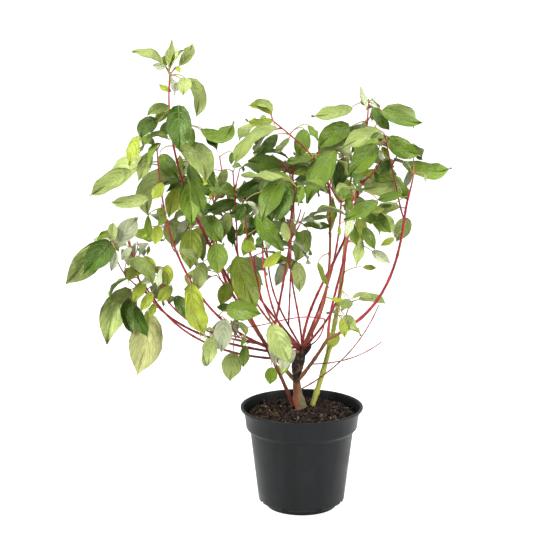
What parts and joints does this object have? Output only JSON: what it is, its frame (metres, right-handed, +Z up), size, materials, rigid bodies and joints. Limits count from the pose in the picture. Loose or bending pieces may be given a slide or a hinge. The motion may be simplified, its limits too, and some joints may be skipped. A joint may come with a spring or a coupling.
{
  "type": "potted red-barked dogwood shrub",
  "caption": "Young dogwood shrub with slender red and yellow-green stems and broad green leaves, in a round tapered black nursery pot of bark compost.",
  "frame": {"origin": "centre of the pot's flat underside", "axes": "+Z up; seen along +Y the tall leading shoot is at the left and the arching bare bough at the right"},
  "size_m": [0.5741, 0.4392, 0.7106],
  "materials": {
    "pot": "semi-matt black, lightly scuffed",
    "soil": "dark crumbly bark compost",
    "bark_old": "old brown bark with dark knots",
    "bark_red": "smooth bright red bark",
    "bark_yellow": "smooth yellow-green bark",
    "bark_olive": "olive bark",
    "bark_brown": "brown bark",
    "bark_amber": "orange-brown bark",
    "leaf_green": "mid green leaves, dull"
  },
  "bodies": {
    "root": {"bough_amber": "bark_amber", "bough_back": "bark_red", "bough_back_centre": "bark_red", "bough_back_left": "bark_red", "bough_back_right": "bark_red", "bough_centre": "bark_red", "bough_centre_left": "bark_red", "bough_crimson": "bark_red", "bough_far_left": "bark_red", "bough_far_left_tip": "bark_red", "bough_front": "bark_red", "bough_front_centre": "bark_red", "bough_front_left": "bark_red", "bough_front_right": "bark_red", "bough_high_left": "bark_red", "bough_low_left": "bark_red", "bough_mid_left": "bark_red", "bough_olive": "bark_olive", "bough_right": "bark_brown", "bough_right_arc": "bark_red", "bough_right_inner": "bark_red", "bough_right_low": "bark_brown", "bough_right_top": "bark_red", "leaves_amber": "leaf_green", "leaves_back": "leaf_green", "leaves_back_centre": "leaf_green", "leaves_back_left": "leaf_green", "leaves_back_right": "leaf_green", "leaves_centre": "leaf_green", "leaves_centre_left": "leaf_green", "leaves_crimson": "leaf_green", "leaves_far_left": "leaf_green", "leaves_far_tip": "leaf_green", "leaves_front": "leaf_green", "leaves_front_centre": "leaf_green", "leaves_front_left": "leaf_green", "leaves_front_right": "leaf_green", "leaves_hanging": "leaf_green", "leaves_high_left": "leaf_green", "leaves_leader": "leaf_green", "leaves_low_front": "leaf_green", "leaves_low_left": "leaf_green", "leaves_mid_left": "leaf_green", "leaves_olive": "leaf_green", "leaves_right_arc": "leaf_green", "leaves_right_inner": "leaf_green", "leaves_right_top": "leaf_green", "leaves_yellow": "leaf_green", "leaves_yellow_low": "leaf_green", "pot": "pot", "soil": "soil", "stem_left": "bark_red", "stem_yellow": "bark_yellow", "trunk": "bark_old", "twig_loop": "bark_red", "twig_loop_far": "bark_red", "twig_right_high": "bark_red", "twig_right_low": "bark_red"}
  },
  "joints": []
}
